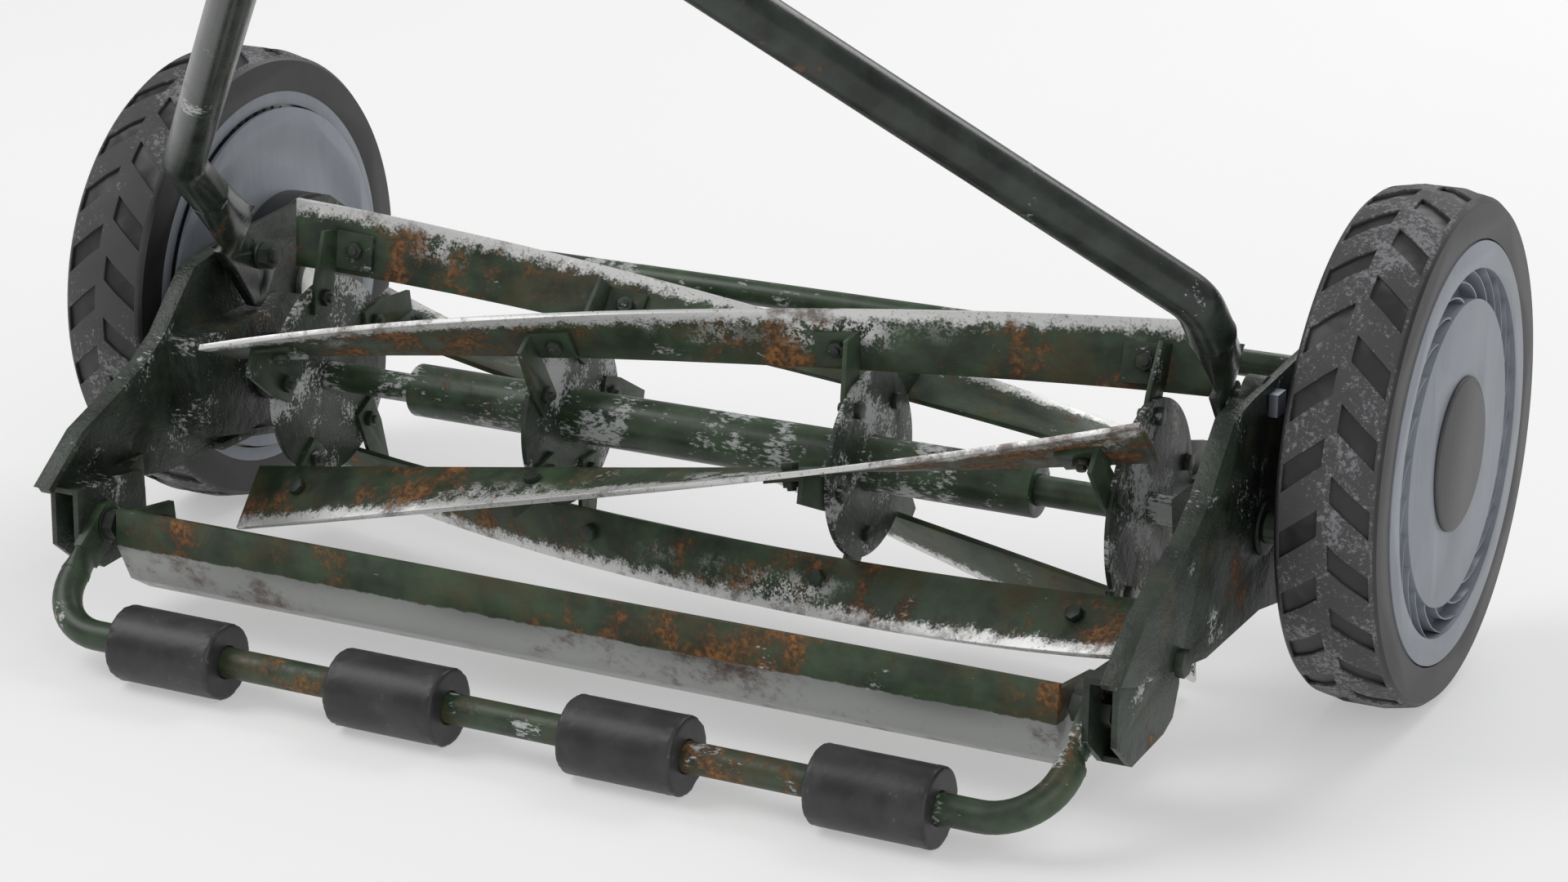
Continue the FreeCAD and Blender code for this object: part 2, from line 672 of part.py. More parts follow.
def bedknife_blade():
    """The thin ground strip that the reel cuts against."""
    top, bottom = edge_z, edge_z - bedknife_blade_thickness
    blade = plate_x([(edge_y, top), (edge_y - 2.2, bottom), (edge_y - bedknife_blade_depth, bottom),
                     (edge_y - bedknife_blade_depth, top)], -bedknife_half_length + 4, bedknife_half_length - 4)
    return blade.cut(rivet_shanks(rivet_radius + seat_clearance))


def bedknife_rivets():
    floor_z = axle_z + bar_floor_z
    rivets = []
    for shank in rivet_shanks(rivet_radius):
        body = shank.common(Part.makeBox(900, 400, axle_z + edge_z - floor_z, V(-450, -400, floor_z)))
        x = body.BoundBox.Center.x
        head = Part.makeCone(3.2, 4.8, 1.8, V(x, rivet_y, floor_z - 1.8))
        rivets.append(fused(body, [head]))
    return group(rivets)


def bedknife_pivot_bolt():
    head_x = bedknife_half_length - 3.4 - 5.0 - part_clearance / 2
    return bolt_x(pivot_bolt_radius, 13.0, head_x, bracket_inner_x + bracket_wall + 6.5, bedknife_pivot_y,
                  axle_z + bedknife_pivot_z, nut_at=bracket_inner_x + bracket_wall)


# ---- reel ----
bracket_sheet = 2.4
bracket_length = 22.0
bracket_inner_u, bracket_outer_u = 61.0, 82.0
disc_bolt_inset = 9.0
disc_bolt_offset = 13.0
blade_bolt_u = 72.0
reel_bolt_radius = 2.4
twist_gap = 0.1


def blade_angle(x):
    """Angle of the first blade at a place along the reel, from straight up towards the rear."""
    return radians(blade_first_angle - blade_twist * (x + blade_half_length) / (2 * blade_half_length))


def reel_point(x, u, v):
    """A point u out from the reel axis along the first blade and v off its middle plane."""
    a = blade_angle(x)
    u = u * (1 - blade_waist * (1 - (x / blade_half_length) ** 2))
    return V(x, reel_y - u * sin(a) - v * cos(a), reel_z + u * cos(a) - v * sin(a))


def helical_strip(x0, x1, u0, u1, v0, v1, stations):
    """A solid strip that twists with the first blade."""
    sections = []
    for k in range(stations):
        x = x0 + (x1 - x0) * k / (stations - 1)
        corners = [reel_point(x, u, v) for u, v in ((u0, v0), (u1, v0), (u1, v1), (u0, v1), (u0, v0))]
        sections.append(Part.makePolygon(corners))
    return Part.makeLoft(sections, True, False)


def inward(disc_x):
    return -1 if disc_x > 0 else 1


def along_blade_normal(shape, x, u):
    """Stand a shape drawn along +X from the origin on the first blade, square to its face."""
    place = reel_point(x, u, 0)
    along = reel_point(x + 0.5, u, 0) - reel_point(x - 0.5, u, 0)
    normal = along.cross(place - reel_point(x, u - 1, 0)).normalize()
    copy = shape.copy()
    copy.Placement = FreeCAD.Placement(place, FreeCAD.Rotation(X_AXIS, normal))
    return copy


def blade_bolt_holes(radius):
    return [along_blade_normal(rod_x(radius, -20, 20, 0, 0), x + inward(x) * 13.0, blade_bolt_u)
            for x in disc_positions]


def disc_bolt_centre(disc_x, disc_radius):
    """Where a bracket is bolted to its disc."""
    x = disc_x + inward(disc_x) * (disc_thickness / 2 + bracket_sheet / 2)
    return reel_point(x, disc_radius - disc_bolt_inset, disc_bolt_offset)


def reel_blade():
    blade = helical_strip(-blade_half_length, blade_half_length, blade_root_radius, blade_tip_radius,
                          -blade_thickness / 2, blade_thickness / 2, 15)
    return blade.cut(blade_bolt_holes(reel_bolt_radius + bolt_clearance))


def blade_bracket(disc_x, disc_radius):
    """An angle piece: one leg lies on the disc, the other on the blade."""
    way = inward(disc_x)
    face = disc_x + way * disc_thickness / 2
    v0 = blade_thickness / 2 + 0.05
    x0, x1 = sorted((face, face + way * bracket_length))
    blade_leg = helical_strip(x0, x1, bracket_inner_u, bracket_outer_u, v0, v0 + bracket_sheet, 4)
    x0, x1 = sorted((face, face + way * bracket_sheet))
    inner_u = disc_radius - 2 * disc_bolt_inset
    corners = [reel_point(face, u, v) for u, v in
               ((inner_u, v0 + 4.0), (bracket_outer_u - 6, v0 + 0.8), (bracket_outer_u, v0 + 0.8),
                (bracket_outer_u, v0 + 14.0), (disc_radius, v0 + 20.0), (inner_u, v0 + 20.0),
                (inner_u, v0 + 4.0))]
    disc_leg = Part.Face(Part.makePolygon(corners)).extrude(V(way * bracket_sheet, 0, 0))
    centre = disc_bolt_centre(disc_x, disc_radius)
    hole = rod_x(reel_bolt_radius + bolt_clearance, disc_x - 12, disc_x + 12, centre.y, centre.z)
    return fused(blade_leg, [disc_leg]).cut([hole] + blade_bolt_holes(reel_bolt_radius + bolt_clearance))


def around_reel(shape):
    """One copy for each blade."""
    return [turned(shape, 360.0 * k / blade_count, reel_y, reel_z) for k in range(blade_count)]


def reel_disc(disc_x, disc_radius, bore):
    disc = tube_x(disc_radius, bore + seat_clearance, disc_x - disc_thickness / 2,
                  disc_x + disc_thickness / 2, reel_y, reel_z)
    centre = disc_bolt_centre(disc_x, disc_radius)
    hole = rod_x(reel_bolt_radius + bolt_clearance, disc_x - 12, disc_x + 12, centre.y, centre.z)
    return disc.cut(around_reel(hole))


def reel_bolts():
    """The bolts that hold the brackets to the discs and to the blades."""
    bolts = []
    for disc_x, disc_radius in zip(disc_positions, disc_radii):
        way = inward(disc_x)
        centre = disc_bolt_centre(disc_x, disc_radius)
        outer = disc_x - way * disc_thickness / 2
        nut = disc_x + way * (disc_thickness / 2 + bracket_sheet)
        disc_bolt = bolt_x(reel_bolt_radius, 8.0, outer - way * 3.0, nut + way * 5.0, centre.y, centre.z,
                           head=3.0, nut_at=nut)
        bolts.extend(around_reel(disc_bolt))
        back = -blade_thickness / 2 - twist_gap
        front = blade_thickness / 2 + bracket_sheet + twist_gap
        blade_bolt = bolt_x(reel_bolt_radius, 8.0, back - 3.2, front + 5.0, 0, 0, head=3.2, nut_at=front)
        bolts.extend(around_reel(along_blade_normal(blade_bolt, disc_x + way * 13.0, blade_bolt_u)))
    return group(bolts)


def reel_shaft():
    """The shaft through the reel, with a slot near each end for a sliding pawl."""
    end = gear_x0 + gear_width + 4.0
    shaft = rod_x(shaft_radius, -end, end, reel_y, reel_z)
    slot = Part.makeBox(pawl_thickness + 0.1, 4 * shaft_radius, pawl_width + 0.1,
                        V(pawl_x - 0.05, reel_y - 2 * shaft_radius, reel_z - pawl_width / 2 - 0.05))
    return shaft.cut([slot, mirrored(slot)])


def reel_sleeve():
    return tube_x(sleeve_radius, shaft_radius + seat_clearance, -sleeve_half_length, sleeve_half_length,
                  reel_y, reel_z)


# ---- handle ----
stem_radius = 12.7
stem_wall = 1.8
stem_bolt_radius = 4.0
fork_top_tab = 105.0
slope_way = V(0, -cos(radians(handle_slope)), sin(radians(handle_slope)))
fork_bend = V(handle_tab_x, handle_bend_y, axle_z + handle_bend_z)
fork_pivot = V(handle_tab_x, handle_pivot_y, axle_z + handle_pivot_z)
fork_side_run = handle_fork_run * 0.8127
fork_top = V(stem_radius + handle_tab_thickness / 2, 0, 0) + V(0, fork_bend.y, fork_bend.z) \
    + slope_way * fork_side_run
stem_start = V(0, fork_top.y, fork_top.z) + slope_way * 36.0
stem_end = stem_start + slope_way * handle_stem_length
stem_bolt_places = (54.0, 90.0)


def handle_fork():
    """One lower tube: flat and bolted to the side plate below, flat against the stem above."""
    up = (fork_bend - fork_pivot).normalize()
    wide = up.cross(X_AXIS).normalize()
    half = handle_tab_thickness / 2
    flat_half_width = handle_tube_radius * pi / 2 * 0.94
    low_round, low_flat = fork_pivot + up * 58.0, fork_pivot + up * 20.0
    high_round, high_flat = fork_top + slope_way * 16.0, fork_top + slope_way * 32.0
    bends = [handle_bend_radius, handle_bend_radius]
    outer = pipe([low_round, fork_bend, fork_top, high_round], bends, handle_tube_radius)
    inner = pipe([low_round + up * 4, fork_bend, fork_top, high_round - slope_way * 4], bends,
                 handle_tube_radius - handle_tube_wall)
    low_press = flattening(low_round, low_flat, handle_tube_radius, flat_half_width, half)
    high_press = flattening(high_round, high_flat, handle_tube_radius, flat_half_width, half)
    side = V(-half, 0, 0)
    tip = fork_pivot + V(0, -4.0, -28.5)
    outline = [low_flat + up * 3 + wide * flat_half_width, fork_pivot + V(0, -37, 10),
               tip + V(0, -5, 1.6), tip, tip + V(0, 6, 2.6), fork_pivot + V(0, 14, -7), fork_pivot + V(0, 15.5, 0),
               low_flat + up * 3 - wide * flat_half_width]
    outline = [p + side for p in outline + outline[:1]]
    low_tab = Part.Face(Part.makePolygon(outline)).extrude(V(handle_tab_thickness, 0, 0))
    wide_up = slope_way.cross(X_AXIS).normalize() * flat_half_width
    end = fork_top + slope_way * fork_top_tab
    outline = [high_flat - slope_way * 3 + wide_up, end - slope_way * 7 + wide_up, end + wide_up * 0.5,
               end - wide_up * 0.5, end - slope_way * 7 - wide_up, high_flat - slope_way * 3 - wide_up]
    outline = [p + side for p in outline + outline[:1]]
    high_tab = Part.Face(Part.makePolygon(outline)).extrude(V(handle_tab_thickness, 0, 0))
    hole = rod_x(handle_bolt_radius + running_clearance, handle_tab_x - 8, handle_tab_x + 8,
                 fork_pivot.y, fork_pivot.z)
    body = fused(outer, [low_press, low_tab, high_press, high_tab]).cut(inner)
    return body.cut([hole] + stem_bolt_holes())


def stem_bolt_holes():
    holes = []
    for place in stem_bolt_places:
        p = fork_top + slope_way * place
        holes.append(rod_x(stem_bolt_radius + bolt_clearance, -60, 60, p.y, p.z))
    return holes


def handle_bolt():
    """The square-headed bolt that the handle swings on, with its washer and nut."""
    y, z = fork_pivot.y, fork_pivot.z
    inner_x = handle_tab_x - handle_tab_thickness / 2 - part_clearance / 2
    head = Part.makeBox(5.0, 11.0, 11.0, V(plate_outer_x, y - 5.5, z - 5.5))
    shank = rod_x(handle_bolt_radius, inner_x - 9.5, plate_outer_x + 1, y, z)
    washer = rod_x(8.0, inner_x - 1.5, inner_x, y, z)
    nut = hexagon_x(12.5, inner_x - 7.5, inner_x - 1.5, y, z, 20)
    return fused(head, [shank, washer, nut])


def stem_tube(radius, start, end):
    return Part.makeCylinder(radius, (end - start).Length, start, slope_way)


def handle_stem():
    """The straight upper tube, with its top end shaped to the crossbar."""
    tube = stem_tube(stem_radius, stem_start, stem_end)
    tube = tube.cut(stem_tube(stem_radius - stem_wall, stem_start - slope_way, stem_end + slope_way))
    saddle = rod_x(stem_radius + seat_clearance, -60, 60, stem_end.y, stem_end.z)
    return tube.cut([saddle] + stem_bolt_holes())


def handle_crossbar():
    half = handle_crossbar_length / 2
    bar = tube_x(stem_radius, stem_radius - stem_wall, -half, half, stem_end.y, stem_end.z)
    return bar


def handle_grip():
    """A soft grip pushed over the end of the crossbar."""
    half = handle_crossbar_length / 2
    outer = rod_x(stem_radius + grip_wall, half - grip_length, half + 4.0, stem_end.y, stem_end.z)
    rims = [edge for edge in outer.Edges if len(edge.Vertexes) == 1]
    outer = outer.makeFillet(3.0, rims)
    return outer.cut(rod_x(stem_radius + seat_clearance, 0, half, stem_end.y, stem_end.z))


def stem_bolt(place):
    p = fork_top + slope_way * place
    side = stem_radius + handle_tab_thickness
    return bolt_x(stem_bolt_radius, 13.0, side + 5.5, -side - 10.0, p.y, p.z, head=5.5, nut_at=-side)


# ---- write every sub-part ----
def main():
    os.makedirs("parts", exist_ok=True)
    save_pair("side_plate", side_plate())
    save("tie_bar", tie_bar())
    save("tie_bar_bolts", both_sides(tie_bar_bolt()))
    save_pair("wheel_axle", axle())
    save_pair("axle_housing", axle_housing())
    save_pair("dust_cover", dust_cover())
    save("wheel_retainers", both_sides(wheel_retainer()))
    save("reel_bearings", both_sides(reel_bearing()))
    save("handle_bolts", both_sides(handle_bolt()))
    save_pair("roller_bracket", roller_bracket())
    save("roller_bracket_bolts", both_sides(roller_bracket_bolt()))
    save("roller_rod", roller_rod())
    save("roller_rod_bolts", both_sides(roller_rod_bolt()))
    save("bedknife_pivot_bolts", both_sides(bedknife_pivot_bolt()))
    save_pair("tyre", tyre())
    save_pair("wheel_rim", rim())
    save_pair("ring_gear", ring_gear())
    save_pair("hub_cap", hub_cap())
    save_pair("wheel_bush", wheel_bush())
    save_pair("pinion", pinion())
    save_pair("pawl", pawl())
    save("reel_shaft", reel_shaft())
    save("reel_sleeve", reel_sleeve())
    brackets = []
    for k, (disc_x, disc_radius) in enumerate(zip(disc_positions, disc_radii), start=1):
        bore = sleeve_radius if abs(disc_x) < sleeve_half_length else shaft_radius
        save("reel_disc_%d" % k, reel_disc(disc_x, disc_radius, bore))
        brackets.extend(around_reel(blade_bracket(disc_x, disc_radius)))
    save("blade_brackets", group(brackets))
    save("reel_bolts", reel_bolts())
    for k, blade in enumerate(around_reel(reel_blade()), start=1):
        save("reel_blade_%d" % k, blade)
    for k, centre in enumerate(roller_centres, start=1):
        save("roller_%d" % k, roller(centre))
    save("bedknife_bar", bedknife_bar())
    save("bedknife_blade", bedknife_blade())
    save("bedknife_rivets", bedknife_rivets())
    save_pair("handle_fork", handle_fork())
    save("handle_stem", handle_stem())
    save("handle_crossbar", handle_crossbar())
    save("handle_grips", both_sides(handle_grip()))
    save("handle_stem_bolts", group([stem_bolt(place) for place in stem_bolt_places]))


main()
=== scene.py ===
"""Reel mower: finished looks built on the mower's fixed frame, laid out as an add-on."""

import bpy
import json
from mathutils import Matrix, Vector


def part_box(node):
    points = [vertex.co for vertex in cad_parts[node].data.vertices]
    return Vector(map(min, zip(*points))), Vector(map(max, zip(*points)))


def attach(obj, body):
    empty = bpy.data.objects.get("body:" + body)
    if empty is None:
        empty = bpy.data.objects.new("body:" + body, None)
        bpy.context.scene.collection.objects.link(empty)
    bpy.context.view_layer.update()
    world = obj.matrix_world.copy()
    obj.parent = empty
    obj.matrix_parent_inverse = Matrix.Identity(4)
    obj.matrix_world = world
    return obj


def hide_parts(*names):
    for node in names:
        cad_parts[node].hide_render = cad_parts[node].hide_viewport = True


bl_info = {
    "name": "Reel Mower",
    "version": (1, 0, 0),
    "blender": (4, 5, 0),
    "location": "View3D > Sidebar > Mower",
    "description": "Builds the finished pieces, paints and stage of a push reel mower",
    "category": "Object",
}

import json
import math

import bmesh
import bpy
from mathutils import Matrix, Vector, noise

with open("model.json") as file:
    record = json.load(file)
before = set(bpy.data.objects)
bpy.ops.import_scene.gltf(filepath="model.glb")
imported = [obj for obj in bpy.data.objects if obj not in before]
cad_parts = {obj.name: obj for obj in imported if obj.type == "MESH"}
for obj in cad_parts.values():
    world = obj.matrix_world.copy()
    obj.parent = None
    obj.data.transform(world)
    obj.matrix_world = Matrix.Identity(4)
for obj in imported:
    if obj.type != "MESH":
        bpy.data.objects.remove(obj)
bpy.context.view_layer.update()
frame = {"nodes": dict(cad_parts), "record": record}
BODY_OF = {node: body for body, nodes in frame["record"]["behaviour"]["bodies"].items() for node in nodes}
JOINTS = {joint["name"]: joint for joint in frame["record"]["behaviour"]["joints"]}
AXLE = Vector(JOINTS["wheel_right_spin"]["pos_m"])
REEL = Vector(JOINTS["reel_spin"]["pos_m"])
ROLLER = Vector(JOINTS["roller_1_spin"]["pos_m"])
TYRE_LOW, TYRE_HIGH = (Vector(corner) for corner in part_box("tyre_right"))
BAR_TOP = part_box("bedknife_bar")[1][2]
HEAD_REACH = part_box("handle_bolts")[1][0]
MM = 0.001
BLADE_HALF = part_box("reel_blade_1")[1][0]


def blade_reach(low, high):
    """How far the first blade reaches from the reel's axis between two places along it."""
    points = [v.co for v in frame["nodes"]["reel_blade_1"].data.vertices if low <= abs(v.co.x) <= high]
    return max(math.hypot(p.y - REEL.y, p.z - REEL.z) for p in points)


MIDDLE_REACH = blade_reach(0.0, BLADE_HALF * 0.1)
END_REACH = blade_reach(BLADE_HALF * 0.97, BLADE_HALF)


def colour(default, name, description):
    """A colour that a user can change in the sidebar."""
    return bpy.props.FloatVectorProperty(name=name, description=description, subtype="COLOR", size=3,
                                         min=0.0, max=1.0, default=default)


def number(default, name, description, **limits):
    return bpy.props.FloatProperty(name=name, description=description, default=default, **limits)


class MowerPaint(bpy.types.PropertyGroup):
    """Colours and rubbed spots of the painted metal, and the painted light on the bar's lower face."""
    green: colour((0.021, 0.040, 0.018), "Green enamel", "Paint of the reel, the bars and the rod")
    handle: colour((0.008, 0.013, 0.009), "Handle enamel", "Dark glossy paint of the handle tubes")
    plate: colour((0.014, 0.021, 0.014), "Plate paint", "Rough paint of the side plates and discs")
    rust: colour((0.38, 0.165, 0.045), "Fresh rust", "Orange rust that shows through the paint")
    stain: colour((0.085, 0.062, 0.022), "Stain", "Yellow-brown tint that rust leaves on the paint around it")
    old_rust: colour((0.075, 0.032, 0.015), "Old rust", "Dark brown rust around the fresh patches")
    # Painted light: the bar's lower face is painted this pale grey to stand in for the light it reflects and
    # to lift it out of its shadow.
    worn_and_lit: colour((0.36, 0.37, 0.36), "Bare grey", "Dull grey face of the bar below its fold")
    steel: colour((0.80, 0.80, 0.79), "Worn steel", "Bare metal along the cutting edges")
    dust: colour((0.62, 0.63, 0.63), "Dust", "Pale dust and scuffs on the metal")
    bevel: number(0.45 * MM, "Edge rounding", "Radius of the edges of plates and bolts", min=0.0,
                  max=2 * MM, subtype="DISTANCE", unit="LENGTH")


class MowerWheels(bpy.types.PropertyGroup):
    """Colours of the wheels and the rollers."""
    tyre: colour((0.014, 0.014, 0.015), "Tyre", "Rubber of the tyres")
    tyre_dust: colour((0.27, 0.27, 0.28), "Tyre dust", "Dust on the raised tread")
    rim: colour((0.235, 0.255, 0.290), "Rim", "Grey plastic of the rims and the dust covers")
    cap: colour((0.047, 0.048, 0.048), "Hub cap", "Dark plastic of the hub caps")
    roller: colour((0.018, 0.018, 0.019), "Roller", "Rubber of the rear rollers")
    grit: number(0.9 * MM, "Roller grit", "Depth of the chips at the roller ends", min=0.0,
                 max=2 * MM, subtype="DISTANCE", unit="LENGTH")


class MowerStage(bpy.types.PropertyGroup):
    """Camera and light."""
    lens: number(85.3, "Lens", "Focal length of the camera in millimetres", min=20.0, max=200.0)
    eye: bpy.props.FloatVectorProperty(name="Camera place", description="Camera from the middle of the axle",
                                       subtype="XYZ", size=3, default=(0.857, -1.6595, 0.5664))
    azimuth: number(27.22, "Azimuth", "Turn of the camera about the vertical, in degrees")
    elevation: number(18.24, "Elevation", "Height of the camera's view, in degrees")
    lift: number(0.37, "Floor glow", "Light that the paper floor gives off itself", min=0.0, max=2.0)
    glow: number(0.42, "Room light", "Strength of the even light of the room", min=0.0, max=3.0)
    floor: number(0.58, "Floor tone", "How pale the floor is", min=0.0, max=1.0)


# ---- selecting and shaping by operator ----
def select_only(obj):
    if bpy.context.object and bpy.context.object.mode != "OBJECT":
        bpy.ops.object.mode_set(mode="OBJECT")
    bpy.ops.object.select_all(action="DESELECT")
    obj.select_set(True)
    bpy.context.view_layer.objects.active = obj


def apply_modifier(obj, kind, **settings):
    select_only(obj)
    modifier = obj.modifiers.new(kind.title(), kind)
    for key, value in settings.items():
        setattr(modifier, key, value)
    bpy.ops.object.modifier_apply(modifier=modifier.name)


def copy_of(node, name):
    """A separate, merged copy of a frame node with loose triangles joined into clean faces."""
    source = frame["nodes"][node]
    select_only(source)
    bpy.ops.object.duplicate(linked=False)
    piece = bpy.context.object
    piece.name = name
    piece.parent = None
    piece.matrix_world = Matrix.Identity(4)
    piece.data.materials.clear()
    select_only(piece)
    bpy.ops.object.mode_set(mode="EDIT")
    bpy.ops.mesh.select_all(action="SELECT")
    bpy.ops.mesh.remove_doubles(threshold=0.002 * MM)
    bpy.ops.mesh.dissolve_limited(angle_limit=math.radians(0.4), delimit={"NORMAL"})
    bpy.ops.object.mode_set(mode="OBJECT")
    return piece


def round_edges(piece, width, angle=34.0, segments=2):
    apply_modifier(piece, "BEVEL", width=width, segments=segments, limit_method="ANGLE",
                   angle_limit=math.radians(angle), harden_normals=False, use_clamp_overlap=True)


def smooth(piece, angle=38.0):
    select_only(piece)
    bpy.ops.object.shade_smooth_by_angle(angle=math.radians(angle))


def place_piece(piece, node, material):
    """Let a finished piece stand for its node."""
    piece.data.materials.clear()
    piece.data.materials.append(material)
    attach(piece, BODY_OF[node])
    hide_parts(node)


def finish_node(node, material, width=None, angle=34.0):
    """A node's own shape with rounded edges, smooth curved faces and its paint."""
    piece = copy_of(node, node + "_finished")
    if width:
        round_edges(piece, width, angle)
    smooth(piece)
    place_piece(piece, node, material)
    return piece


# ---- shader building ----
class Value:
    """A shader socket that adds Math nodes when it is used in an expression."""

    def __init__(self, shader, socket):
        self.shader = shader
        self.socket = socket

    def math(self, operation, *others):
        node = self.shader.add("ShaderNodeMath", {"operation": operation}, dict(enumerate((self,) + others)))
        return Value(self.shader, node.outputs[0])

    def __add__(self, other):
        return self.math("ADD", other)

    __radd__ = __add__

    def __mul__(self, other):
        return self.math("MULTIPLY", other)

    __rmul__ = __mul__

    def __sub__(self, other):
        return self.math("SUBTRACT", other)

    def __rsub__(self, other):
        return self.math("MULTIPLY", -1.0).math("ADD", other)

    def __abs__(self):
        return self.math("ABSOLUTE")

    def over(self, other):
        return self.math("MAXIMUM", other)

    def power(self, other):
        return self.math("POWER", other)

    def step(self, low, high):
        """0 below low, 1 above high and a soft run between."""
        node = self.shader.add("ShaderNodeMapRange", {"interpolation_type": "SMOOTHSTEP"},
                               {"Value": self, "From Min": low, "From Max": high})
        return Value(self.shader, node.outputs[0])


class Shader:
    """One material with a Principled surface."""

    def __init__(self, name):
        self.material = bpy.data.materials.new(name)
        self.material.use_nodes = True
        self.tree = self.material.node_tree
        self.tree.nodes.clear()
        self.surface = self.add("ShaderNodeBsdfPrincipled")
        self.add("ShaderNodeOutputMaterial", None, {"Surface": Value(self, self.surface.outputs[0])})
        self.point = self.out("ShaderNodeTexCoord", "Object")
        parts = self.add("ShaderNodeSeparateXYZ", None, {0: self.point})
        self.x, self.y, self.z = (Value(self, socket) for socket in parts.outputs)

    def add(self, kind, settings=None, inputs=None):
        """A node of a kind: its settings are set first, then its sockets get values or links."""
        node = self.tree.nodes.new(kind)
        for key, value in (settings or {}).items():
            setattr(node, key, value)
        for key, value in (inputs or {}).items():
            if isinstance(value, Value):
                self.tree.links.new(value.socket, node.inputs[key])
            else:
                node.inputs[key].default_value = value
        return node

    def out(self, kind, socket, settings=None, inputs=None):
        return Value(self, self.add(kind, settings, inputs).outputs[socket])

    def noise(self, scale, detail=4.0, roughness=0.55, stretch=None, shift=0.0):
        """Noise between 0 and 1; scale is in cells for each metre."""
        where = self.out("ShaderNodeMapping", 0, None,
                         {"Vector": self.point, "Location": (shift, shift * 0.7, -shift),
                          "Scale": stretch or (1.0, 1.0, 1.0)})
        return self.out("ShaderNodeTexNoise", 0, None,
                        {"Vector": where, "Scale": scale, "Detail": detail, "Roughness": roughness})

    def mix(self, factor, first, second):
        """A blend of two colours."""
        node = self.add("ShaderNodeMix", {"data_type": "RGBA", "clamp_factor": True})
        for socket, value in ((node.inputs[0], factor), (node.inputs[6], first), (node.inputs[7], second)):
            if isinstance(value, Value):
                self.tree.links.new(value.socket, socket)
            elif isinstance(value, float):
                socket.default_value = value
            else:
                socket.default_value = tuple(value) + (1.0,)
        return Value(self, node.outputs[2])

    def distance_from(self, centre):
        """Distance from an axis across the mower."""
        square = (self.y - centre.y) * (self.y - centre.y) + (self.z - centre.z) * (self.z - centre.z)
        return square.power(0.5)

    def finish(self, base, roughness, metallic=0.0, bump=None, depth=0.3, distance=0.4 * MM, **fixed):
        """Feed the surface and return the material."""
        inputs = {"Base Color": base, "Roughness": roughness, "Metallic": metallic}
        if bump is not None:
            inputs["Normal"] = self.out("ShaderNodeBump", 0, None,
                                        {"Strength": depth, "Distance": distance, "Height": bump})
        inputs.update({name.replace("_", " ").title(): value for name, value in fixed.items()})
        for key, value in inputs.items():
            if isinstance(value, Value):
                self.tree.links.new(value.socket, self.surface.inputs[key])
            elif isinstance(value, float):
                self.surface.inputs[key].default_value = value
            else:
                self.surface.inputs[key].default_value = tuple(value) + (1.0,)
        return self.material


# ---- paints and plastics ----
def rust_cover(shader, amount, seed):
    """Blotches of rust: where they lie, and their speckled colour mask."""
    patch = shader.noise(11.0, 3.0, 0.5, shift=seed)
    cluster = shader.noise(52.0, 5.0, 0.6, shift=seed + 1.5)
    speck = shader.noise(260.0, 4.0, 0.75, shift=seed + 3.0)
    field = patch * 0.5 + cluster * 0.5 + (speck - 0.5) * 0.24
    low = 0.64 - 0.25 * amount
    return field.step(low, low + 0.12), field.step(low + 0.03, low + 0.17)


def dust_cover_mask(shader, amount, seed, stretch=None):
    """Scattered pale dust and scuffs."""
    cloud = shader.noise(28.0, 4.0, 0.6, shift=seed)
    grain = shader.noise(520.0, 3.0, 0.75, stretch=stretch, shift=seed + 9.0)
    field = grain * 0.8 + (cloud - 0.5) * 1.5
    low = 0.68 - 0.26 * amount
    return field.step(low, low + 0.13)


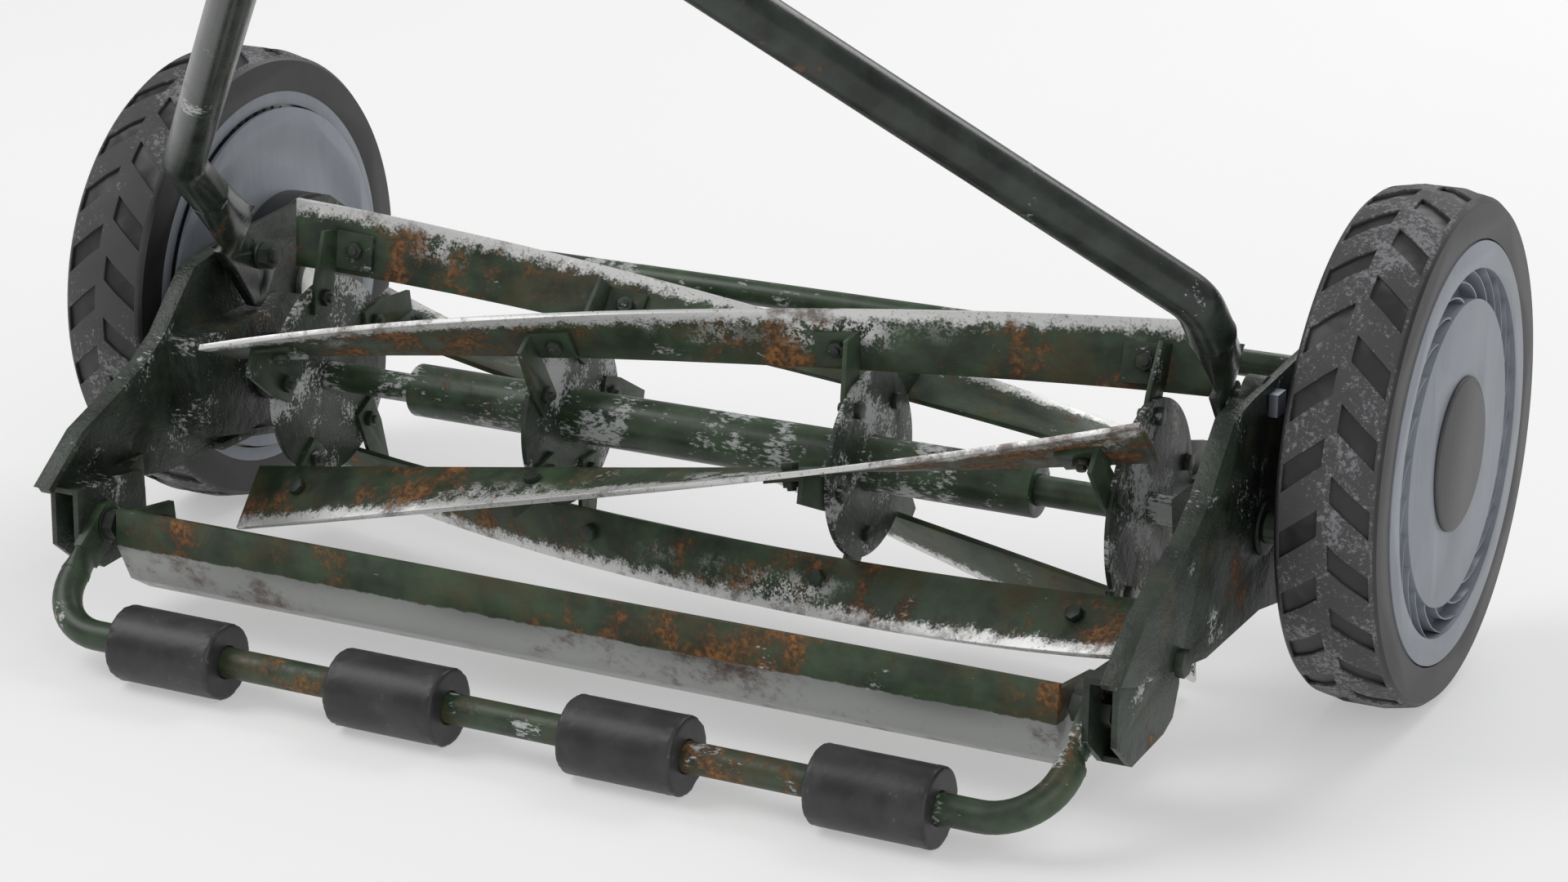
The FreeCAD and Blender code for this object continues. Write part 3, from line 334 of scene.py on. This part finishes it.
def painted(name, base, paint, rust=0.35, dust=0.3, seed=1.0, gloss=0.36, wear_and_light_mask=None, dent=0.5, cast=0.0,
            worn_and_lit_colour=None, fleck=0.0):
    """Old enamel: uneven colour, rust blotches, pale scuffs and, where asked, steel rubbed free of paint; on
    the bar's lower face the same mask paints light as a pale grey.
    """
    shader = Shader(name)
    tone = shader.noise(42.0, 5.0, 0.6, shift=seed + 5.0)
    streak = shader.noise(90.0, 4.0, 0.6, stretch=(0.25, 1.0, 1.0), shift=seed + 7.0)
    skin = shader.mix((tone * 0.7 + streak * 0.3).step(0.32, 0.70), [c * 0.55 for c in base],
                      [min(c * 2.1 + 0.012, 1.0) for c in base])
    old, fresh = rust_cover(shader, rust, seed)
    spot = shader.noise(330.0, 3.0, 0.6, shift=seed + 2.0)
    orange = shader.mix(spot.step(0.35, 0.62), paint.old_rust, paint.rust)
    tint = shader.noise(24.0, 4.0, 0.6, shift=seed + 1.0).step(0.62 - 0.25 * rust, 0.80 - 0.25 * rust)
    skin = shader.mix(tint * 0.5, skin, paint.stain)
    skin = shader.mix(old * 0.62, skin, paint.old_rust)
    skin = shader.mix(fresh * 0.82, skin, orange)
    dusty = dust_cover_mask(shader, dust, seed + 11.0, (0.4, 1.0, 1.0))
    skin = shader.mix(dusty * 0.75, skin, paint.dust)
    rough = (tone * 0.24 + gloss) + old * 0.3 + dusty * 0.25
    grain = shader.noise(700.0, 3.0, 0.6, shift=seed + 4.0)
    hammer = shader.noise(150.0, 4.0, 0.55, shift=seed + 6.0)
    height = hammer * (0.35 + cast) + grain * (0.15 + cast * 0.4) + old * 0.35 + fresh * spot * 0.7
    metal = old * 0.0
    if wear_and_light_mask is not None:
        # The mask marks rubbed metal and the grey heads, and on the bar's lower face the pale grey painted as
        # light.
        worn_and_lit = wear_and_light_mask(shader, grain, hammer)
        shine = worn_and_lit_colour or paint.steel
        flecks = shader.noise(480.0, 4.0, 0.75, shift=seed).step(0.36 + fleck, 0.46 + fleck)
        flecked = shader.mix(flecks, [c * 0.3 for c in shine], shine)
        worn_and_lit_skin = shader.mix(fresh * 0.8, flecked, paint.old_rust)
        skin = shader.mix(worn_and_lit, skin, worn_and_lit_skin)
        rough = rough * (1.0 - worn_and_lit) + worn_and_lit * 0.42
        metal = worn_and_lit * 0.6
    return shader.finish(skin, rough, metal, height, depth=dent, distance=0.5 * MM)


def worn_blade_edge(shader, grain, hammer):
    """Bright metal rubbed free of paint along the cutting edge of the reel blades, breaking up inwards."""
    along = shader.x * (1.0 / BLADE_HALF)
    tip = along * along * (END_REACH - MIDDLE_REACH) + MIDDLE_REACH
    below = shader.distance_from(REEL) - tip + (hammer - 0.5) * 0.014 + (grain - 0.5) * 0.012
    ragged = below.step(-8.5 * MM, -3.5 * MM)
    scuff = shader.noise(9.0, 3.0, 0.5, shift=21.0).step(0.54, 0.66)
    inner = below.step(-22.0 * MM, -10.0 * MM) * scuff
    return ragged.over(inner * (grain + hammer).step(0.94, 1.08))


def painted_light_lower_bar(shader, grain, hammer):
    """Painted light: the bar across the rear is painted pale grey below its fold, standing in for the light
    its tilted lower face reflects and lifting it out of its shadow.
    """
    fold = BAR_TOP - 18.5 * MM
    line = shader.z + (hammer - 0.5) * 0.004
    return line.step(fold - 1.2 * MM, fold) * -1.0 + 1.0


def outer_head(shader, grain, hammer):
    """Only the square heads outside the side plates are plain grey."""
    outside = HEAD_REACH - 4.5 * MM
    return abs(shader.x).step(outside, outside + 0.1 * MM)


def worn_tube(shader, grain, hammer):
    """Dry grey streaks where a tube was pressed and rubbed."""
    return (shader.noise(30.0, 5.0, 0.65, shift=31.0) + (grain - 0.5) * 0.5).step(0.74, 0.80) * 0.55


def tyre_rubber(wheels):
    """Black rubber with dust on the raised tread and clean pockets."""
    shader = Shader("tyre_rubber")
    middle = (TYRE_LOW.x + TYRE_HIGH.x) / 2
    off = abs(abs(shader.x) - middle)
    crown = (off - 9.7 * MM).over(0.0) * 0.208
    proud = shader.distance_from(AXLE) + crown - (TYRE_HIGH.z - TYRE_LOW.z) / 2
    raised = proud.step(-1.5 * MM, -0.7 * MM)
    tread = raised * (1.0 - off.step(22.5 * MM, 23.8 * MM))
    cloud = shader.noise(22.0, 4.0, 0.6, shift=2.0)
    grain = shader.noise(420.0, 4.0, 0.8, shift=5.0)
    fleck = (grain + (cloud - 0.5) * 0.8).step(0.545, 0.66)
    base = shader.mix(cloud.step(0.3, 0.7), wheels.tyre, [c * 1.9 for c in wheels.tyre])
    haze = shader.mix(tread * 0.16, base, wheels.tyre_dust)
    skin = shader.mix(tread * fleck * 0.72, haze, wheels.tyre_dust)
    rough = 0.46 + tread * 0.24 + fleck * tread * 0.1
    bump = grain * tread * 0.8 + shader.noise(900.0, 2.0, 0.5) * 0.2
    return shader.finish(skin, rough, 0.0, bump, depth=0.35, distance=0.35 * MM)


def moulded_plastic(name, base, seed, rough=0.42, brushed=0.25):
    """Satin plastic with faint moulding streaks and grime."""
    shader = Shader(name)
    streak = shader.noise(60.0, 4.0, 0.6, stretch=(1.0, 3.5, 0.35), shift=seed)
    cloud = shader.noise(14.0, 4.0, 0.6, shift=seed + 4.0)
    skin = shader.mix((streak * brushed + cloud * (1.0 - brushed)).step(0.30, 0.72),
                      [c * 0.84 for c in base], [min(c * 1.16, 1.0) for c in base])
    fine = shader.noise(1200.0, 2.0, 0.5, shift=seed)
    return shader.finish(skin, cloud * 0.14 + (rough - 0.07), 0.0, fine, depth=0.12, distance=0.15 * MM)


def roller_rubber(wheels):
    """Black rubber, satin round the roller and gritty at its ends."""
    shader = Shader("roller_rubber")
    grain = shader.noise(900.0, 3.0, 0.6, shift=4.0)
    cloud = shader.noise(45.0, 4.0, 0.6, shift=8.0)
    dusty = (shader.noise(300.0, 4.0, 0.75, shift=3.0) + (cloud - 0.5) * 0.6).step(0.66, 0.76)
    skin = shader.mix(cloud.step(0.35, 0.7), wheels.roller, [c * 2.2 for c in wheels.roller])
    skin = shader.mix(dusty * 0.22, skin, wheels.tyre_dust)
    return shader.finish(skin, cloud * 0.12 + 0.36 + dusty * 0.2, 0.0, grain, depth=0.3, distance=0.2 * MM)


def plain_steel(name, base, seed):
    """Machined steel, dulled by handling."""
    shader = Shader(name)
    turned = shader.noise(160.0, 4.0, 0.6, stretch=(6.0, 1.0, 1.0), shift=seed)
    stain = shader.noise(35.0, 5.0, 0.65, shift=seed + 2.0)
    skin = shader.mix(stain.step(0.35, 0.68), [c * 0.45 for c in base], base)
    return shader.finish(skin, turned * 0.2 + 0.3, 0.85, turned, depth=0.2, distance=0.2 * MM)


def all_materials():
    """One material for each finish on the mower."""
    paint = bpy.context.scene.mower_paint
    wheels = bpy.context.scene.mower_wheels
    if MATERIALS:
        return MATERIALS
    MATERIALS.update({
        "blade": painted("blade_enamel", paint.green, paint, 0.60, 0.10, 1.0, 0.32, worn_blade_edge, 0.6,
                         fleck=-0.04),
        # The bar's lower face gets painted light: a pale grey standing in for the light it reflects and
        # lifting it out of shadow.
        "bar": painted("bar_enamel", paint.green, paint, 0.66, 0.04, 4.0, 0.36, painted_light_lower_bar, 0.5,
                       worn_and_lit_colour=list(paint.worn_and_lit), fleck=-0.16),
        "green": painted("green_enamel", paint.green, paint, 0.16, 0.86, 7.0, 0.24, None, 0.5),
        "rod": painted("rod_enamel", paint.green, paint, 0.52, 0.46, 9.0, 0.3, None, 0.6),
        "bracket": painted("bracket_enamel", [c * 0.8 for c in paint.green], paint, 0.25, 0.22, 12.0, 0.38),
        "handle": painted("handle_enamel", paint.handle, paint, 0.20, 0.05, 15.0, 0.14, worn_tube, 0.35,
                          worn_and_lit_colour=[c * 0.12 for c in paint.steel]),
        "plate": painted("plate_paint", paint.plate, paint, 0.20, 0.30, 18.0, 0.28, None, 1.0, 1.6),
        "disc": painted("disc_paint", paint.plate, paint, 0.16, 0.74, 22.0, 0.34, None, 1.0, 1.2),
        "bolt": painted("bolt_paint", paint.plate, paint, 0.20, 0.30, 25.0, 0.34),
        "grey_bolt": painted("grey_bolt_paint", paint.plate, paint, 0.05, 0.15, 27.0, 0.34, outer_head,
                             worn_and_lit_colour=list(wheels.rim), fleck=-0.36),
        "tyre": tyre_rubber(wheels),
        "rim": moulded_plastic("rim_plastic", wheels.rim, 3.0),
        "cap": moulded_plastic("cap_plastic", wheels.cap, 6.0, 0.45, 0.7),
        "cover": moulded_plastic("cover_plastic", wheels.rim, 8.0, 0.38),
        "black": moulded_plastic("black_plastic", wheels.roller, 9.0, 0.5),
        "roller": roller_rubber(wheels),
        "grip": moulded_plastic("grip_foam", wheels.roller, 12.0, 0.7),
        "steel": plain_steel("turned_steel", paint.steel, 2.0),
    })
    return MATERIALS


MATERIALS = {}
SIDES = ("left", "right")


def numbered(name, count):
    return ["%s_%d" % (name, k) for k in range(1, count + 1)]


def sided(*names):
    return ["%s_%s" % (name, side) for name in names for side in SIDES]


# ---- operators ----
class MowerOperator:
    """What the mower's operators share."""
    bl_options = {"REGISTER", "UNDO"}

    def finish_all(self, nodes, material, width=None, angle=34.0):
        for node in nodes:
            finish_node(node, all_materials()[material], width, angle)


class MOWER_OT_stage(MowerOperator, bpy.types.Operator):
    """Set up the camera, the pale floor and the soft light"""
    bl_idname = "mower.stage"
    bl_label = "Stage"

    def execute(self, context):
        stage = context.scene.mower_stage
        turn = math.radians(stage.azimuth)
        tilt = math.radians(stage.elevation)
        bpy.ops.object.camera_add(location=Vector((0.0, 0.0, AXLE.z)) + Vector(stage.eye),
                                  rotation=(math.pi / 2 - tilt, 0.0, turn))
        camera = context.object
        camera.data.lens = stage.lens
        camera.data.sensor_width = 36.0
        camera.data.clip_end = 60.0
        context.scene.camera = camera
        world = bpy.data.worlds.new("studio")
        world.use_nodes = True
        room = world.node_tree.nodes["Background"]
        room.inputs["Color"].default_value = (0.93, 0.93, 0.93, 1.0)
        room.inputs["Strength"].default_value = stage.glow
        context.scene.world = world
        context.scene.view_settings.view_transform = "Standard"
        bpy.ops.mesh.primitive_plane_add(size=24.0, location=(0.0, 0.0, -0.0005))
        floor = context.object
        floor.name = "floor"
        shader = Shader("floor_paper")
        mottle = shader.noise(3.0, 3.0, 0.5)
        tone = stage.floor
        skin = shader.mix(mottle, (tone, tone, tone), (tone * 1.02, tone * 1.02, tone * 1.02))
        floor.data.materials.append(shader.finish(skin, 0.9, emission_color=(1.0, 1.0, 1.0),
                                                  emission_strength=stage.lift))
        for name, place, aim, size, power in (
                ("key", (-2.6, -1.4, 3.2), (0.0, -0.1, 0.1), 2.4, 62.0),
                ("fill", (2.8, -2.6, 2.2), (0.0, -0.1, 0.1), 2.6, 34.0),
                ("rim_light", (0.6, 2.8, 2.4), (0.0, 0.0, 0.1), 2.2, 46.0)):
            bpy.ops.object.light_add(type="AREA", location=place)
            lamp = context.object
            lamp.name = name
            lamp.data.size = size
            lamp.data.energy = power
            lamp.rotation_euler = (Vector(place) - Vector(aim)).to_track_quat("Z", "Y").to_euler()
        return {"FINISHED"}


class MOWER_OT_wheels(MowerOperator, bpy.types.Operator):
    """Finish the tyres, rims, hub caps and what lies inside the wheels"""
    bl_idname = "mower.wheels"
    bl_label = "Wheels"

    def execute(self, context):
        self.finish_all(sided("tyre"), "tyre", 0.55 * MM, 24.0)
        self.finish_all(sided("wheel_rim"), "rim", 0.35 * MM)
        self.finish_all(sided("hub_cap"), "cap", 0.3 * MM)
        self.finish_all(sided("wheel_bush"), "black")
        self.finish_all(sided("ring_gear", "pinion", "pawl"), "steel")
        return {"FINISHED"}


class MOWER_OT_frame(MowerOperator, bpy.types.Operator):
    """Finish the side plates, covers, axles, tie bar and their fasteners"""
    bl_idname = "mower.frame"
    bl_label = "Frame"

    def execute(self, context):
        bevel = context.scene.mower_paint.bevel
        self.finish_all(sided("side_plate", "roller_bracket"), "plate", bevel)
        self.finish_all(sided("axle_housing"), "black", bevel)
        self.finish_all(sided("dust_cover"), "cover", 0.3 * MM)
        self.finish_all(["tie_bar"], "green", 0.3 * MM)
        self.finish_all(sided("wheel_axle") + ["wheel_retainers"], "steel", 0.2 * MM)
        self.finish_all(["reel_bearings"], "plate", 0.2 * MM)
        self.finish_all(["handle_bolts"], "grey_bolt", 0.3 * MM)
        self.finish_all(["tie_bar_bolts", "roller_bracket_bolts", "roller_rod_bolts",
                         "bedknife_pivot_bolts"], "bolt", 0.3 * MM)
        return {"FINISHED"}


class MOWER_OT_reel(MowerOperator, bpy.types.Operator):
    """Finish the reel: shaft, sleeve, discs, blades, brackets and bolts"""
    bl_idname = "mower.reel"
    bl_label = "Reel"

    def execute(self, context):
        self.finish_all(numbered("reel_blade", 5), "blade", 0.35 * MM)
        self.finish_all(numbered("reel_disc", 4), "disc", 0.3 * MM)
        self.finish_all(["reel_sleeve", "reel_shaft"], "green", 0.5 * MM)
        self.finish_all(["blade_brackets"], "bracket", 0.3 * MM)
        self.finish_all(["reel_bolts"], "bolt", 0.25 * MM)
        return {"FINISHED"}


class MOWER_OT_bedknife(MowerOperator, bpy.types.Operator):
    """Finish the bent bar, its ground blade and the rivets"""
    bl_idname = "mower.bedknife"
    bl_label = "Bedknife"

    def execute(self, context):
        self.finish_all(["bedknife_bar"], "bar", context.scene.mower_paint.bevel)
        self.finish_all(["bedknife_blade"], "steel", 0.15 * MM)
        self.finish_all(["bedknife_rivets"], "bolt", 0.2 * MM)
        return {"FINISHED"}


class MOWER_OT_rollers(MowerOperator, bpy.types.Operator):
    """Model the rubber rollers with chipped, gritty ends, and finish their rod"""
    bl_idname = "mower.rollers"
    bl_label = "Rollers"

    def execute(self, context):
        self.finish_all(["roller_rod"], "rod", 0.3 * MM, 40.0)
        for k, node in enumerate(numbered("roller", 4)):
            low, high = (Vector(corner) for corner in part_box(node))
            piece = self.roll(node + "_rubber", low, high, context.scene.mower_wheels.grit, k)
            place_piece(piece, node, all_materials()["roller"])
        return {"FINISHED"}

    def roll(self, name, low, high, grit, seed):
        """One roller: a thick tube with rounded rims, cut into small faces and roughened near its ends."""
        radius = (high.z - low.z) / 2
        middle = (low + high) / 2
        length = high.x - low.x
        bore = 7.65 * MM
        bpy.ops.mesh.primitive_cylinder_add(vertices=96, radius=radius - grit * 0.4, depth=length,
                                            location=middle, rotation=(0.0, math.pi / 2, 0.0),
                                            end_fill_type="NGON")
        piece = bpy.context.object
        piece.name = name
        bpy.ops.object.transform_apply(location=True, rotation=True, scale=True)
        bpy.ops.object.mode_set(mode="EDIT")
        mesh = bmesh.from_edit_mesh(piece.data)
        for face in mesh.faces:
            face.select_set(abs(face.normal.x) > 0.9)
        bmesh.update_edit_mesh(piece.data)
        for inset in (3.0 * MM, (radius - grit * 0.4 - bore - 3.0 * MM) / 2):
            bpy.ops.mesh.inset(thickness=inset, depth=0.0)
        bpy.ops.mesh.inset(thickness=(radius - grit * 0.4 - bore - 3.0 * MM) / 2, depth=0.0)
        bpy.ops.mesh.bridge_edge_loops()
        bpy.ops.object.mode_set(mode="OBJECT")
        apply_modifier(piece, "BEVEL", width=1.5 * MM, segments=3, limit_method="ANGLE",
                       angle_limit=math.radians(50))
        select_only(piece)
        bpy.ops.object.mode_set(mode="EDIT")
        mesh = bmesh.from_edit_mesh(piece.data)
        for edge in mesh.edges:
            along = abs(edge.verts[0].co.x - edge.verts[1].co.x)
            outside = min(v.co.yz.to_3d().length for v in edge.verts)
            edge.select_set(along > length * 0.5 and self.from_axis(edge.verts[0].co) > bore * 1.5)
        bpy.ops.mesh.subdivide(number_cuts=44)
        bpy.ops.object.mode_set(mode="OBJECT")
        half = length / 2
        for vertex in piece.data.vertices:
            if self.from_axis(vertex.co) < bore * 1.2:
                continue
            from_end = half - abs(vertex.co.x - middle.x)
            edge = max(0.0, 1.0 - from_end / (11.0 * MM))
            bumps = noise.fractal(vertex.co * 330.0 + Vector((seed, 0, 0)), 1.0, 2.0, 3)
            chips = min(0.0, noise.noise(vertex.co * 140.0 + Vector((0, seed, 0))) + 0.12)
            outward = Vector((0.0, vertex.co.y - ROLLER.y, vertex.co.z - ROLLER.z)).normalized()
            push = grit * (0.10 + 0.75 * edge ** 1.5) * (0.55 * bumps + 1.8 * chips * edge)
            vertex.co += outward * min(push, grit * 0.35)
        smooth(piece, 50.0)
        return piece

    def from_axis(self, point):
        return math.hypot(point.y - ROLLER.y, point.z - ROLLER.z)


class MOWER_OT_handle(MowerOperator, bpy.types.Operator):
    """Finish the fork tubes, the stem, the crossbar and its grips"""
    bl_idname = "mower.handle"
    bl_label = "Handle"

    def execute(self, context):
        self.finish_all(sided("handle_fork") + ["handle_stem", "handle_crossbar"], "handle", 0.3 * MM, 40.0)
        self.finish_all(["handle_grips"], "grip")
        self.finish_all(["handle_stem_bolts"], "bolt", 0.3 * MM)
        return {"FINISHED"}


class MOWER_PT_panel(bpy.types.Panel):
    """The mower's sizes, colours and steps in the sidebar"""
    bl_label = "Reel Mower"
    bl_idname = "MOWER_PT_panel"
    bl_space_type = "VIEW_3D"
    bl_region_type = "UI"
    bl_category = "Mower"

    def draw(self, context):
        layout = self.layout
        for group in (context.scene.mower_paint, context.scene.mower_wheels, context.scene.mower_stage):
            box = layout.box()
            for name in group.bl_rna.properties.keys():
                if name not in ("rna_type", "name"):
                    box.prop(group, name)
        for step in STEPS:
            layout.operator(step.bl_idname)


GROUPS = (("mower_paint", MowerPaint), ("mower_wheels", MowerWheels), ("mower_stage", MowerStage))
STEPS = (MOWER_OT_stage, MOWER_OT_wheels, MOWER_OT_frame, MOWER_OT_reel, MOWER_OT_bedknife,
         MOWER_OT_rollers, MOWER_OT_handle)


def register():
    for name, group in GROUPS:
        bpy.utils.register_class(group)
        setattr(bpy.types.Scene, name, bpy.props.PointerProperty(type=group))
    for cls in STEPS + (MOWER_PT_panel,):
        bpy.utils.register_class(cls)


def unregister():
    for cls in (MOWER_PT_panel,) + STEPS[::-1]:
        bpy.utils.unregister_class(cls)
    for name, group in GROUPS[::-1]:
        delattr(bpy.types.Scene, name)
        bpy.utils.unregister_class(group)


def main():
    register()
    bpy.ops.mower.stage()
    bpy.ops.mower.wheels()
    bpy.ops.mower.frame()
    bpy.ops.mower.reel()
    bpy.ops.mower.bedknife()
    bpy.ops.mower.rollers()
    bpy.ops.mower.handle()


if __name__ == "__main__":
    main()
